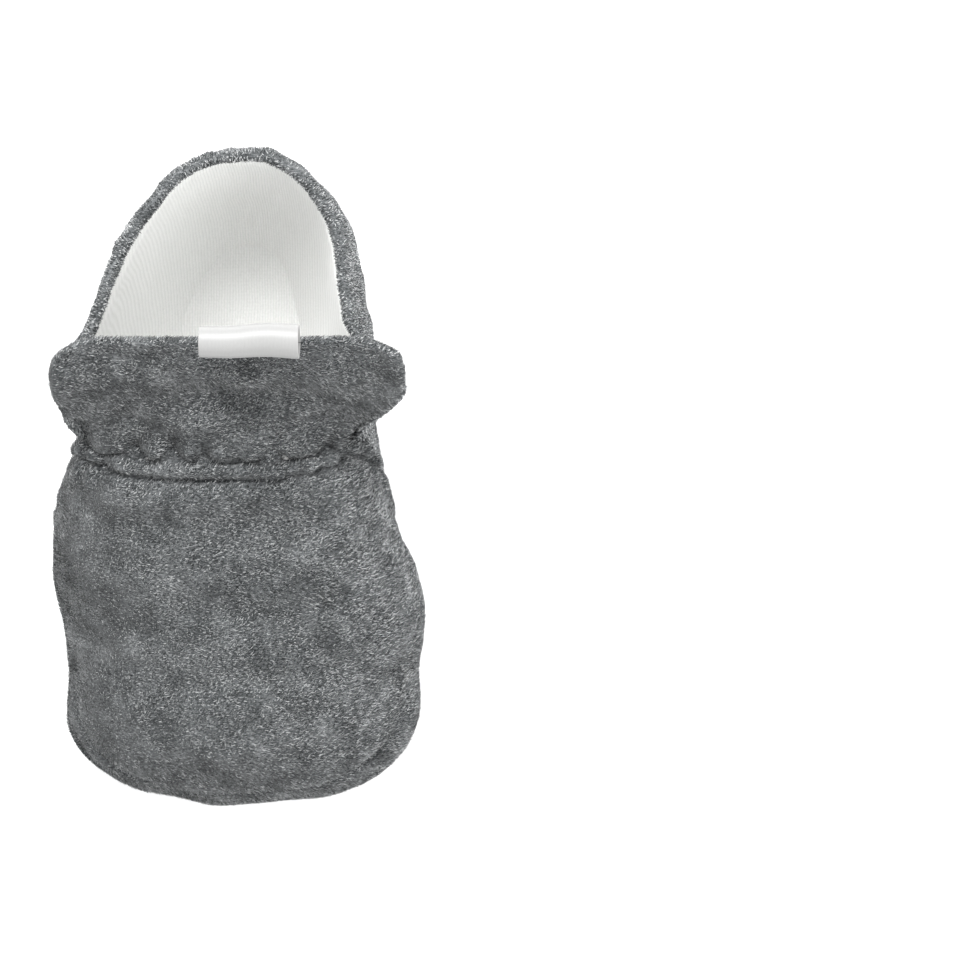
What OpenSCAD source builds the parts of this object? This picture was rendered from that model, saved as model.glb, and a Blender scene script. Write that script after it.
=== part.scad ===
// Soft fleece baby bootie, sole down: toe towards -Y, heel towards +Y, millimetres.
// The upper is two panels, a vamp and a heel piece, both lined. Elastics gather the
// ankle, and above the front casing the collar is a flap that folds forward.

/* [Bootie] */
// Length from toe to heel
boot_len = 123.6; // [120:0.2:128]
// Width across the toe box
toe_w = 70.4; // [64:0.2:74]
// Width across the ankle, at the side seams
ankle_w = 54.4; // [52:0.2:58]
// Height of the heel rim
heel_h = 51; // [48:0.5:54]
// How far the ankle leans to the left
ankle_lean = 1; // [0:0.2:2]
// Height of the fold line, where the collar starts
fold_h = 49.4; // [47:0.2:52]

/* [Sole] */
// Width of the sole across the toe
sole_toe_w = 58; // [54:0.5:62]
// Thickness of the fleece outsole
outsole_t = 2.5; // [2:0.1:3]
// Thickness of the wadding
wadding_t = 3; // [2:0.1:3.4]
// Thickness of the insole lining
insole_t = 0.9; // [0.6:0.1:1.2]

/* [Cloth] */
// Thickness of the fleece
fleece_t = 2.2; // [1.8:0.1:2.4]
// Thickness of the jersey lining
lining_t = 0.7; // [0.5:0.1:0.9]
// Width of the elastics
elastic_w = 5; // [4:0.5:6]
// Thickness of the elastics
elastic_t = 0.8; // [0.5:0.1:0.9]

/* [Collar] */
// Width of the collar along its top edge
collar_w = 64; // [60:0.5:66]
// Reach of the collar towards the heel
collar_back = 17; // [15:0.5:19]
// Rise of the collar above the fold line
collar_rise = 18.4; // [15:0.2:20]
// Width of the ribbon label
label_w = 18; // [12:0.5:20]
// Height of the label's loop
label_h = 8.4; // [6:0.2:9]
// Distance from the middle of the collar to the middle of the label
label_x = 4.4; // [-6:0.2:6]

/* [Seams] */
// Distance from one stitch to the next
stitch_pitch = 3; // [2.6:0.2:4]
// Thickness of the sewing thread
thread_d = 0.6; // [0.4:0.1:0.7]

/* [Hidden] */

toe_y = -boot_len / 2;
heel_y = boot_len / 2;
seam_foot_y = -8;                   // foot of the side seams, at the sole
seam_back = 20;                     // how far back the side seams swing on the way up
crown_forward = 5.5;                // how far the fold line's middle lies ahead of its ends
seam_gap = 0.9;                     // from the vamp's edge to the heel piece's
straight_y = 12;                    // the heel piece's plan is round behind this
round_s = 0.68;                     // share of the heel piece that is round
wing_flare = 6;                     // the heel rim flares out this far beside the collar
toe_round_len = 27;                 // from the toe tip to the full width
full_y = toe_y + toe_round_len;
toe_rise = 31;                      // height gained over the toe cap
base_z = outsole_t + 0.2;           // lower edge of the upper panels
rise = fold_h - base_z;
cloth_gap = 0.2;                    // air between two layers of cloth
wadding_z = outsole_t + 0.2;
insole_z = wadding_z + wadding_t + 0.2;
tuck_h = 15;                        // the walls bulge out over this height
tuck_y = 0.035;
lining_o = fleece_t + cloth_gap;    // depth of the lining below the outer face
channel = elastic_t + 0.4;          // room for an elastic between the two layers
front_casing = [0.932, 0.985];      // the front casing's lower and upper edges
heel_casing = [0.80, 0.95];
hinge_y = seam_foot_y + seam_back - crown_forward + 1.9;
hinge_z = fold_h - 0.6;
stitch_gap = 0.7;
toe_gap = 0.015;                     // start of the vamp's skin, clear of its pole

grey = [0.42, 0.44, 0.45];
light_grey = [0.55, 0.57, 0.58];
off_white = [0.93, 0.92, 0.88];

function smooth(t) = let (c = max(0, min(1, t))) c * c * (3 - 2 * c);
function bump(t, lo, hi, soft) = smooth((t - lo + soft) / soft) * smooth((hi + soft - t) / soft);
function spow(x, p) = sign(x) * pow(abs(x), p);
function toe_round(y, o) = sqrt(max(0, 1 - pow(max(0, (full_y - y) / (toe_round_len - o)), 3.2)));

// Half width and height of the body at y, o below its outer face
function body_half(y, o) =
    (toe_w / 2 - (toe_w - ankle_w) / 2 * smooth((y + 22) / 36) - o) * toe_round(y, o);
function body_height(y, o) =
    (toe_rise - o) * toe_round(y, o) + (rise - toe_rise) * pow(smooth((y + 47) / 55), 1.1);

// The walls tuck in to the narrower sole over their lowest stretch
function tuck(z) = pow(max(0, 1 - (z - base_z) / tuck_h), 2);
function narrow(y, z) = 1 - (1 - sole_toe_w / toe_w) * (1 - 0.66 * smooth((y + 30) / 40)) * tuck(z);

// How far the side seam lies behind its foot, at a fraction of the way up
function seam_swing(up) = seam_back * sin(90 * min(1, up / 0.8)) - crown_forward * pow(up, 8);

// The soft ankle stands a little to the left of the sole
function lean(y, z) =
    ankle_lean * smooth((y + 32) / 30) * (1 - smooth((y - 12) / 40)) * smooth(z / 14);

// Vamp: u runs over the foot from the left sole edge to the right, v from toe to fold line
vamp = function (u, v, o)
    let (phi = 90 - 90 * sign(u) * (1 - pow(1 - abs(u), 1.6)),
        y0 = toe_y + o + (seam_foot_y - toe_y - o) * (1 - cos(90 * v)),
        square = 2 / (2.2 + 2 * smooth((y0 + 52) / 44)),
        up = pow(sin(phi), square),
        y = y0 + seam_swing(up) * smooth((v - 0.3) / 0.7),
        z = base_z + body_height(y, o) * up)
    [body_half(y, o) * spow(cos(phi), square) * narrow(y, z) - lean(y, z),
        y * (1 - tuck_y * tuck(z)), z];

// Heel piece: s runs round the heel from the right side seam to the left, h from sole to rim
heel = function (s, h, o)
    let (side = max(0, (abs(s) - round_s) / (1 - round_s)),
        a = 90 * min(1, abs(s) / round_s),
        rim = heel_h - 10 * smooth((side - 0.25) / 0.75) - 1.2 * (1 - smooth(abs(s) / 0.3)),
        z = base_z + h * (rim - base_z),
        y0 = seam_foot_y + seam_gap + seam_swing(min(1, (z - base_z) / rise)),
        l = heel_y - straight_y - 3.4 * tuck(z) - o,
        y = straight_y + l * pow(cos(a), 0.87) - (straight_y - y0) * side,
        flare = wing_flare * pow(h, 3) * smooth((31 - y) / 13) * smooth((y - 2) / 12),
        w = body_half(y, 0) - 1.2 * h + 0.8 * sin(180 * h) + flare - o)
    [-sign(s) * w * pow(sin(a), 0.87) * narrow(y, z) - lean(y, z),
        y * (1 - tuck_y * tuck(z)), z];

// Collar: u runs across it, v from the fold line to the top edge
collar = function (u, v, o)
    let (side = pow(abs(u), 2.6),
        drop = 4.6 * pow(1 - v, 1.5) * side + 2.6 * v * side,
        sag = 2.2 * sin(180 * v) * (1 - side),
        x = u * (21.5 + (collar_w / 2 - 21.5) * pow(v, 0.6)),
        y = hinge_y - 0.6 + collar_back * v + 3 * side * (1 - v) - 1.5 * side * v,
        z = hinge_z + 1.2 + collar_rise * v - drop)
    [x - lean(y, z), y + 0.67 * (o + sag), z - 0.74 * (o + sag)];

// A closed sheet of cloth between two depths below a skin
module cloth(skin, u_span, v_span, grid, outside, inside) {
    nu = grid[0];
    nv = grid[1];
    function id(side, i, j) = (side * (nv + 1) + j) * (nu + 1) + i;
    function two(a, b, c, d) = [[a, c, b], [a, d, c]];
    points = [for (side = [0, 1], j = [0 : nv], i = [0 : nu])
        let (u = u_span[0] + (u_span[1] - u_span[0]) * i / nu,
            v = v_span[0] + (v_span[1] - v_span[0]) * j / nv)
        skin(u, v, side == 0 ? outside(u, v) : inside(u, v))];
    faces = [
        for (j = [0 : nv - 1], i = [0 : nu - 1]) each
            two(id(0, i, j), id(0, i + 1, j), id(0, i + 1, j + 1), id(0, i, j + 1)),
        for (j = [0 : nv - 1], i = [0 : nu - 1]) each
            two(id(1, i, j), id(1, i, j + 1), id(1, i + 1, j + 1), id(1, i + 1, j)),
        for (i = [0 : nu - 1]) each
            two(id(0, i, 0), id(1, i, 0), id(1, i + 1, 0), id(0, i + 1, 0)),
        for (i = [0 : nu - 1]) each
            two(id(0, i, nv), id(0, i + 1, nv), id(1, i + 1, nv), id(1, i, nv)),
        for (j = [0 : nv - 1]) each
            two(id(0, 0, j), id(0, 0, j + 1), id(1, 0, j + 1), id(1, 0, j)),
        for (j = [0 : nv - 1]) each
            two(id(0, nu, j), id(1, nu, j), id(1, nu, j + 1), id(0, nu, j + 1))];
    polyhedron(points, faces);
}

// Plan outline of the sole, o inside the upper's lower edge
function sole_outline(o) = concat(
    [for (k = [0 : 22]) let (p = vamp(-1, k / 22, o)) [p.x, p.y]],
    [for (k = [0 : 40]) let (p = heel(1 - k / 20, 0, o)) [p.x, p.y]],
    [for (k = [22 : -1 : 1]) let (p = vamp(1, k / 22, o)) [p.x, p.y]]);

module sole_layer(z, t, o) translate([0, 0, z]) linear_extrude(t) polygon(sole_outline(o));

// One run of thread through a list of points, a stitch between each pair
module stitches(points) {
    for (i = [0 : len(points) - 2]) {
        a = points[i];
        d = points[i + 1] - a;
        len = norm(d);
        translate(a + d * stitch_gap / 2 / len)
            rotate([0, acos(d.z / len), atan2(d.y, d.x)])
                cylinder(h = len - stitch_gap, d = thread_d, $fn = 16);
    }
}

module outsole() color(grey) sole_layer(0, outsole_t, -0.3);

module sole_wadding() color(off_white) sole_layer(wadding_z, wadding_t, 5);

module insole_lining() color(off_white) sole_layer(insole_z, insole_t, 4.4);

module vamp_outer() color(grey)
    cloth(vamp, [-1, 1], [toe_gap, 1], [34, 24], function (u, v) 0, function (u, v) fleece_t);

module vamp_lining() color(off_white)
    cloth(vamp, [-0.98, 0.98], [toe_gap + 0.03, 0.995], [32, 28],
        function (u, v) lining_o + channel * bump(v, front_casing[0], front_casing[1], 0.03),
        function (u, v) lining_o + lining_t + channel * bump(v, front_casing[0], front_casing[1], 0.03));

module front_elastic() color(light_grey)
    cloth(vamp, [-0.55, 0.55], front_casing + [0.003, -0.003], [24, 2],
        function (u, v) lining_o, function (u, v) lining_o + elastic_t);

module heel_outer() color(grey)
    cloth(heel, [-1, 1], [0, 1], [44, 16], function (s, h) 0, function (s, h) fleece_t);

module heel_lining() color(off_white)
    cloth(heel, [-0.99, 0.99], [0.01, 0.985], [40, 20],
        function (s, h) lining_o + channel * bump(h, heel_casing[0], heel_casing[1], 0.04),
        function (s, h) lining_o + lining_t + channel * bump(h, heel_casing[0], heel_casing[1], 0.04));

module heel_elastic() color(light_grey)
    cloth(heel, [-round_s, round_s], [heel_casing[0] + 0.01, heel_casing[0] + 0.01 + elastic_w / heel_h],
        [36, 2], function (s, h) lining_o, function (s, h) lining_o + elastic_t);

module collar_outer() color(grey)
    cloth(collar, [-1, 1], [0, 1], [30, 12], function (u, v) 0, function (u, v) fleece_t);

module collar_lining() color(off_white)
    cloth(collar, [-0.97, 0.97], [0.03, 0.98], [28, 11],
        function (u, v) lining_o, function (u, v) lining_o + lining_t);

// The label is a loop of ribbon that stands out of the collar's top seam
function loop_outline(w, h) = [for (t = [0 : 10 : 350]) [w * sin(t) * pow(sin(t / 2), 1.2), h / 2 * (1 - cos(t))]];

module label() color(off_white) {
    ribbon_t = 0.4;
    top = collar(0, 1, fleece_t / 2);
    translate([label_x - label_w / 2, top.y, top.z + 1.3]) rotate([90, 0, 90]) linear_extrude(label_w)
        difference() {
            polygon(loop_outline(3, label_h));
            translate([0, 2 * ribbon_t]) polygon(loop_outline(3 - 1.3 * ribbon_t, label_h - 3 * ribbon_t));
        }
}

module casing_stitches(v) {
    count = round(48 / stitch_pitch);
    stitches([for (k = [0 : count]) vamp(0.6 * (2 * k / count - 1), v, 0)]);
}

module casing_stitches_lower() color(light_grey) casing_stitches(front_casing[0] - 0.015);

module casing_stitches_upper() color(light_grey) casing_stitches(front_casing[1]);

module heel_casing_stitches() color(light_grey) {
    count = round(112 / stitch_pitch);
    stitches([for (k = [0 : count]) heel(round_s * (2 * k / count - 1), heel_casing[0] - 0.03, 0)]);
}

module side_seam_stitches() color(light_grey) {
    count = round(30 / stitch_pitch);
    for (side = [-1, 1])
        stitches([for (k = [0 : count]) vamp(side * (0.97 - 0.42 * k / count), 0.965, 0)]);
}

module sole_seam_stitches() color(light_grey) {
    ring = sole_outline(-0.2);
    stitches([for (k = [0 : len(ring)]) let (p = ring[k % len(ring)]) [p.x, p.y, outsole_t - 0.2]]);
}

module label_stitches() color(light_grey) {
    count = round((label_w - 2) / stitch_pitch * 1.5);
    top = collar(0, 0.93, 0);
    stitches([for (k = [0 : count])
        [label_x + (label_w - 2) * (k / count - 0.5), top.y, top.z]]);
}

outsole();
sole_wadding();
insole_lining();
vamp_outer();
vamp_lining();
front_elastic();
heel_outer();
heel_lining();
heel_elastic();
collar_outer();
collar_lining();
label();
casing_stitches_lower();
casing_stitches_upper();
heel_casing_stitches();
side_seam_stitches();
sole_seam_stitches();
label_stitches();
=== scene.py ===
"""A soft fleece baby bootie, sole down, with its toe towards -Y: lined, gathered at the
ankle by elastics, with a collar flap and a ribbon label."""
import math

import bpy
import numpy as np
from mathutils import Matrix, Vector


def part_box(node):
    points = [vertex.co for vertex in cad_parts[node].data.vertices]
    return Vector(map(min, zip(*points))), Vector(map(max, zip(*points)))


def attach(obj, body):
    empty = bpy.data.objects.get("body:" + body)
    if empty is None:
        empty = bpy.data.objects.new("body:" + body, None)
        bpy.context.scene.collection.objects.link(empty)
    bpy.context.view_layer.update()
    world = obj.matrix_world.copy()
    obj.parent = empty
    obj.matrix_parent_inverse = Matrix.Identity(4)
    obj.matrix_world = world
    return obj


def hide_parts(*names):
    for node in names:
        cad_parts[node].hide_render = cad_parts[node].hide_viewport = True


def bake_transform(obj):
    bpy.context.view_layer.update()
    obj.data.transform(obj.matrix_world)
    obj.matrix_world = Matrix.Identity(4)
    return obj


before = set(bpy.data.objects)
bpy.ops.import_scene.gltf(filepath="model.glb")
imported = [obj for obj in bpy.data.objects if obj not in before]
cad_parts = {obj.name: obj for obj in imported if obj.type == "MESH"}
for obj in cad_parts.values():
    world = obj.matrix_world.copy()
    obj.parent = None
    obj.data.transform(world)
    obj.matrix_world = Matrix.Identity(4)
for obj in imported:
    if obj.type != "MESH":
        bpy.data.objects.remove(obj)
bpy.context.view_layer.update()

MM = 0.001


# ---------------------------------------------------------------- studio
# The bootie stands on a white light table and is looked at from straight above, a little to
# its right. A wide soft light hangs over the heel, a weaker one stands off beside the toe,
# and the white room fills the shadows.
scene = bpy.context.scene
CAMERA_HEIGHT = 0.700
TABLE_WIDTH_SEEN = 0.189
SENSOR = 36.0

camera_data = bpy.data.cameras.new("camera")
camera_data.sensor_width = SENSOR
camera_data.lens = SENSOR * CAMERA_HEIGHT / TABLE_WIDTH_SEEN
camera = bpy.data.objects.new("camera", camera_data)
camera.location = (0.0454, 0.0006, CAMERA_HEIGHT)
scene.collection.objects.link(camera)
scene.camera = camera
scene.view_settings.view_transform = "Standard"

world = bpy.data.worlds.new("white_room")
scene.world = world
world.use_nodes = True
world.node_tree.nodes["Background"].inputs["Color"].default_value = (1.0, 1.0, 1.0, 1.0)
world.node_tree.nodes["Background"].inputs["Strength"].default_value = 0.85


def soft_light(name, place, target, size, watts):
    """A square area light that faces a point."""
    data = bpy.data.lights.new(name, "AREA")
    data.size = size
    data.energy = watts
    light = bpy.data.objects.new(name, data)
    scene.collection.objects.link(light)
    light.location = place
    way = np.array(target) - np.array(place)
    light.rotation_euler = (
        math.atan2(math.hypot(way[0], way[1]), -way[2]), 0.0, math.atan2(-way[0], way[1]))


soft_light("key_light", (-0.10, 0.55, 0.75), (0.0, 0.0, 0.0), 0.5, 10.0)
soft_light("fill_light", (0.55, -0.25, 0.60), (0.0, 0.0, 0.0), 0.6, 3.0)


# ---------------------------------------------------------------- shader maths
# Materials are written as expressions on sockets. A Finish is one material, and adds the
# nodes that an expression needs.
class Socket:
    """A value in a node tree that can be added, subtracted and multiplied."""

    def __init__(self, maker, link):
        self.maker, self.link = maker, link

    def math(self, operation, *others):
        return self.maker.node("ShaderNodeMath", {"operation": operation}, {
            i: v for i, v in enumerate((self, *others))})

    def __add__(self, other):
        return self.math("ADD", other)

    __radd__ = __add__

    def __mul__(self, other):
        return self.math("MULTIPLY", other)

    __rmul__ = __mul__

    def __sub__(self, other):
        return self.math("SUBTRACT", other)

    def __rsub__(self, other):
        return (self * -1.0) + other


class Finish:
    """One material: its Principled shader's constants, and a way to add nodes."""

    def __init__(self, name, **constants):
        self.material = bpy.data.materials.new(name)
        self.material.use_nodes = True
        self.tree = self.material.node_tree
        self.shader = self.tree.nodes["Principled BSDF"]
        for key, value in constants.items():
            self.shader.inputs[key.replace("_", " ")].default_value = value

    def node(self, kind, settings=None, sockets=None, out=0):
        made = self.tree.nodes.new(kind)
        for key, value in (settings or {}).items():
            if key == "stops":
                ramp = made.color_ramp
                while len(ramp.elements) < len(value):
                    ramp.elements.new(0.5)
                for element, (place, colour) in zip(ramp.elements, value):
                    element.position, element.color = place, (*colour, 1.0)
            else:
                setattr(made, key, value)
        for key, value in (sockets or {}).items():
            if isinstance(value, Socket):
                self.tree.links.new(value.link, made.inputs[key])
            else:
                made.inputs[key].default_value = value
        return Socket(self, made.outputs[out])

    def feed(self, **links):
        for key, value in links.items():
            self.tree.links.new(value.link, self.shader.inputs[key.replace("_", " ")])

    def place(self, scale=(1.0, 1.0, 1.0), turn=0.0):
        """Object coordinates, scaled and turned about Z."""
        where = self.node("ShaderNodeTexCoord", out="Object")
        return self.node("ShaderNodeMapping", sockets={
            "Vector": where, "Scale": scale, "Rotation": (0.0, 0.0, turn)})

    def axis(self, where, name):
        """One coordinate of a place: X, Y or Z."""
        return self.node("ShaderNodeSeparateXYZ", sockets={"Vector": where}, out=name)

    def noise(self, where, scale, detail=3.0, roughness=0.55):
        return self.node("ShaderNodeTexNoise", sockets={
            "Vector": where, "Scale": scale, "Detail": detail, "Roughness": roughness},
            out="Fac")

    def between(self, share, low, high):
        """A colour from low to high."""
        return self.node("ShaderNodeMix", {"data_type": "RGBA"}, {
            0: share, 6: (*low, 1.0), 7: (*high, 1.0)}, out=2)

    def bump(self, height, strength, distance):
        return self.node("ShaderNodeBump", sockets={
            "Height": height, "Strength": strength, "Distance": distance})


table_finish = Finish("white_table", Base_Color=(0.94, 0.94, 0.94, 1.0), Roughness=0.9,
                      Emission_Color=(1.0, 1.0, 1.0, 1.0), Emission_Strength=0.35)
grain = table_finish.noise(table_finish.place(), 300.0)
table_finish.feed(Roughness=grain * 0.1 + 0.85)

TABLE_HALF = 1.5
table_mesh = bpy.data.meshes.new("table")
table_mesh.from_pydata(
    [(x, y, 0.0) for x, y in ((-TABLE_HALF, -TABLE_HALF), (TABLE_HALF, -TABLE_HALF),
                              (TABLE_HALF, TABLE_HALF), (-TABLE_HALF, TABLE_HALF))],
    [], [(0, 1, 2, 3)])
table = bpy.data.objects.new("table", table_mesh)
scene.collection.objects.link(table)
table_mesh.materials.append(table_finish.material)


# ---------------------------------------------------------------- vamp
# The front panel: grey melange fleece over the toes, cut in one piece from the sole seam
# on one side to the other, and stitched over the heel piece at the sides.
def smooth(t):
    c = np.clip(t, 0.0, 1.0)
    return c * c * (3.0 - 2.0 * c)


def signed_power(x, p):
    return np.sign(x) * np.abs(x) ** p


def waves(points, length, seed, count=14):
    """Smooth random relief from -1 to 1 over points, with hills about length apart."""
    draw = np.random.default_rng(seed)
    total = np.zeros(points.shape[:-1])
    for _ in range(count):
        way = draw.normal(size=3)
        way *= 2.0 * math.pi / (length * draw.uniform(0.8, 1.5) * np.linalg.norm(way))
        total += np.sin(points @ way + draw.uniform(0.0, 2.0 * math.pi))
    return total / math.sqrt(count)


TOE_Y, HEEL_Y = -62.2, 61.8
TOE_ROUND, TOE_RISE = 27.0, 31.0
TOE_HALF, ANKLE_HALF, SOLE_SHARE = 35.7, 27.2, 58.0 / 70.4
BASE_Z, FOLD_Z, TUCK_HEIGHT, TUCK_Y = 2.7, 49.4, 15.0, 0.035
RISE = FOLD_Z - BASE_Z
SEAM_FOOT_Y, SEAM_BACK, CROWN_FORWARD, SEAM_LAP = -8.0, 20.0, 5.5, 2.4
FLEECE, LINING, AIR = 2.2, 0.7, 0.2
CASING_LOW, CREASE_HIGH = 0.932, 0.970
VAMP_START = 0.012
ANKLE_LEAN = 3.4
PILE_DEPTH = 0.4


def toe_round(y, o):
    past = np.clip((TOE_Y + TOE_ROUND - y) / (TOE_ROUND - o), 0.0, 1.0)
    return np.sqrt(1.0 - past ** 3.5)


def body_half(y, o):
    taper = (TOE_HALF - ANKLE_HALF) * smooth((y + 22.0) / 36.0)
    return (TOE_HALF - taper - o) * toe_round(y, o)


def body_height(y, o):
    climb = (RISE - TOE_RISE) * smooth((y + 47.0) / 55.0) ** 1.1
    return (TOE_RISE - o) * toe_round(y, o) + climb


def tuck(z):
    return np.clip(1.0 - (z - BASE_Z) / TUCK_HEIGHT, 0.0, 1.0) ** 2


def narrow(y, z):
    return 1.0 - (1.0 - SOLE_SHARE) * (1.0 - 0.66 * smooth((y + 30.0) / 40.0)) * tuck(z)


def seam_swing(up):
    rise = np.sin(0.5 * math.pi * np.minimum(1.0, up / 0.8))
    return SEAM_BACK * rise - CROWN_FORWARD * np.clip(up, 0.0, 1.0) ** 8


def ankle_lean(y, z):
    """The soft ankle stands a little to the left of the sole, and so does the toe."""
    ankle = ANKLE_LEAN * smooth((y + 32.0) / 30.0) * (1.0 - smooth((y - 12.0) / 40.0))
    ends = 0.9 * smooth((-30.0 - y) / 16.0) - 1.3 * smooth((y - 34.0) / 22.0)
    return (ankle + ends) * smooth(z / 14.0)


def vamp_skin(u, v, o):
    """u runs over the foot from the left sole edge to the right, v from toe to fold line."""
    phi = 0.5 * math.pi * (1.0 - np.sign(u) * (1.0 - (1.0 - np.abs(u)) ** 1.6))
    y0 = TOE_Y + o + (SEAM_FOOT_Y - TOE_Y - o) * (1.0 - np.cos(0.5 * math.pi * v))
    square = 2.0 / (2.2 + 2.0 * smooth((y0 + 52.0) / 44.0))
    up = np.sin(phi) ** square
    y = y0 + seam_swing(up) * smooth((v - 0.3) / 0.7)
    z = BASE_Z + body_height(y, o) * up
    x = body_half(y, o) * signed_power(np.cos(phi), square) * narrow(y, z)
    return np.stack([x - ankle_lean(y, z), y * (1.0 - TUCK_Y * tuck(z)), z], -1)


def gathers(u, seed, count):
    """Uneven folds along u, mostly between 0 and 1."""
    draw = np.random.default_rng(seed)
    total = np.zeros_like(u)
    for k in range(4):
        total += np.sin(u * count * (0.7 + 0.27 * k) * math.pi + draw.uniform(0.0, 6.28))
    return 0.5 + 0.25 * total


def vamp_relief(u, v, points):
    """Height of the cloth above its smooth shape: gathers, stitch grooves, soft hills."""
    low = np.exp(-((v - CASING_LOW) / 0.0060) ** 2)
    high = np.exp(-((v - CREASE_HIGH) / 0.0070) ** 2)
    fold = gathers(u, 3, 15.0)
    near_casing = np.exp(-(np.clip(CASING_LOW - v, 0.0, 1.0) / 0.045) ** 1.3)
    on_casing = smooth((v - CASING_LOW) / 0.01)
    top = smooth((0.93 - np.abs(u)) / 0.12)
    puff = np.exp(-((v - CASING_LOW + 0.035) / 0.03) ** 2)
    rim = smooth((v - 0.968) / 0.012)
    relief = (0.9 * puff - 1.9 * low - 1.5 * high - 1.1 * rim) * top
    relief += 1.1 * (fold - 0.5) * near_casing * smooth(v / 0.3) * top
    relief += 0.6 * on_casing * top * (0.3 + fold)
    foot = np.exp(-(1.0 - np.abs(u)) / 0.05)
    relief += 0.45 * foot * np.sin(v * 95.0 + 2.0 * np.sin(9.0 * v)) * smooth((v - 0.2) / 0.3)
    edge = np.exp(-((1.0 - v) / 0.025) ** 2) * (1.0 - top)
    relief -= 0.5 * edge
    toe = smooth((-34.0 - points[..., 1]) / 12.0)
    height = points[..., 2]
    relief += toe * (1.4 * np.exp(-((height - 8.0) / 5.5) ** 2)
                     - 1.5 * np.exp(-((height - 17.5) / 1.3) ** 2))
    return relief + 0.38 * waves(points, 17.0, 5) + 0.22 * waves(points, 7.0, 6)


def vamp_nap(u, v):
    """The pile is flattened in the stitch grooves."""
    top = smooth((0.93 - np.abs(u)) / 0.12)
    low = np.exp(-((v - CASING_LOW) / 0.0065) ** 2)
    high = np.exp(-((v - CREASE_HIGH) / 0.0065) ** 2)
    return 1.0 - 0.9 * np.clip(low + high, 0.0, 1.0) * top


def spread(start, end, count, edge_share):
    """Grid lines from start to end, drawn together at both edges, where the cloth rounds."""
    rim = np.array([0.0, 0.04, 0.16, 0.36, 0.64, 1.0]) * edge_share
    middle = np.linspace(edge_share, 1.0 - edge_share, count)
    share = np.concatenate([rim[:-1], middle, 1.0 - rim[-2::-1]])
    return start + (end - start) * share


def border_distance(points):
    """Distance of every grid point from the nearest edge of the grid, along its lines."""
    shortest = np.full(points.shape[:2], np.inf)
    for axis in (0, 1):
        step = np.linalg.norm(np.diff(points, axis=axis), axis=-1)
        along = np.insert(np.cumsum(step, axis=axis), 0, 0.0, axis=axis)
        whole = along.max(axis=axis, keepdims=True)
        shortest = np.minimum(shortest, np.minimum(along, whole - along))
    return shortest


def cloth_mesh(name, skin, us, vs, outer, inner, relief=None, nap=None, turned=None):
    """A closed sheet of cloth, o from outer to inner below a skin, with rounded edges.
    Its faces carry the attribute nap: how thick the pile stands. nap gives it for the outer
    side, and turned for the inner side, where an edge is turned in."""
    v, u = np.meshgrid(vs, us, indexing="ij")
    outer = outer(u, v) if callable(outer) else np.full_like(u, outer)
    inner = inner(u, v) if callable(inner) else np.full_like(u, inner)
    middle, half = (outer + inner) / 2.0, (inner - outer) / 2.0
    centre = skin(u, v, middle)
    near = np.clip(border_distance(centre) / half, 0.0, 1.0)
    swell = np.sqrt(1.0 - (1.0 - near) ** 2)
    lift = relief(u, v, centre) if relief else 0.0
    top = skin(u, v, middle - half * swell - lift)
    bottom = skin(u, v, middle + half * swell - lift * 0.5)
    return weld(name, top, bottom, nap(u, v) if nap else np.ones_like(u),
                turned(u, v) if turned else np.zeros_like(u))


def weld(name, top, bottom, nap, turned):
    """Joins two grids that share their border into one closed mesh, in metres."""
    rows, columns = top.shape[:2]
    index = np.arange(rows * columns).reshape(rows, columns)
    inside = np.zeros((rows, columns), bool)
    inside[1:-1, 1:-1] = True
    under = index.copy()
    under[inside] = rows * columns + np.arange(inside.sum())
    points = np.concatenate([top.reshape(-1, 3), bottom[inside]]) * MM

    def quads(grid, flip):
        corners = [grid[:-1, :-1], grid[:-1, 1:], grid[1:, 1:], grid[1:, :-1]]
        corners = corners[::-1] if flip else corners
        return np.stack([c.ravel() for c in corners], -1)

    faces = np.concatenate([quads(index, False), quads(under, True)])
    mesh = bpy.data.meshes.new(name)
    mesh.from_pydata(points.tolist(), [], faces.tolist())
    pile = np.concatenate([((side[:-1, :-1] + side[1:, 1:]) / 2.0).ravel()
                           for side in (nap, turned)]).astype(np.float32)
    mesh.attributes.new("nap", "FLOAT", "FACE").data.foreach_set("value", pile)
    mesh.shade_smooth()
    mesh.update()
    return mesh


def add_piece(name, mesh, finish, node, body):
    """Puts a piece in the scene in place of a node, riding on a body."""
    piece = bpy.data.objects.new(name, mesh)
    scene.collection.objects.link(piece)
    mesh.materials.append(finish.material)
    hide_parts(node)
    if body:
        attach(piece, body)
    return piece


fleece_finish = Finish("grey_fleece", Roughness=0.95, Sheen_Weight=0.25, Sheen_Roughness=0.5)
streaks = fleece_finish.noise(fleece_finish.place((1.0, 2.6, 1.6), 0.5), 1300.0, 4.0, 0.7)
clouds = fleece_finish.noise(fleece_finish.place(), 190.0, 3.0)
melange = streaks + (clouds - 0.5) * 0.45
fleece_finish.feed(
    Base_Color=fleece_finish.node("ShaderNodeValToRGB", {"stops": [
        (0.30, (0.030, 0.033, 0.034)), (0.48, (0.085, 0.092, 0.095)),
        (0.60, (0.18, 0.19, 0.195)), (0.75, (0.36, 0.37, 0.375))]}, {"Fac": melange}),
    Normal=fleece_finish.bump(streaks, 0.6, 0.0006))

vamp_mesh = cloth_mesh(
    "vamp", vamp_skin, spread(-1.0, 1.0, 200, 0.02), spread(VAMP_START, 1.0, 190, 0.02),
    PILE_DEPTH, FLEECE + 0.1, vamp_relief, vamp_nap)
vamp = add_piece("vamp_fleece", vamp_mesh, fleece_finish, "vamp_outer", "shoe")


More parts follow.
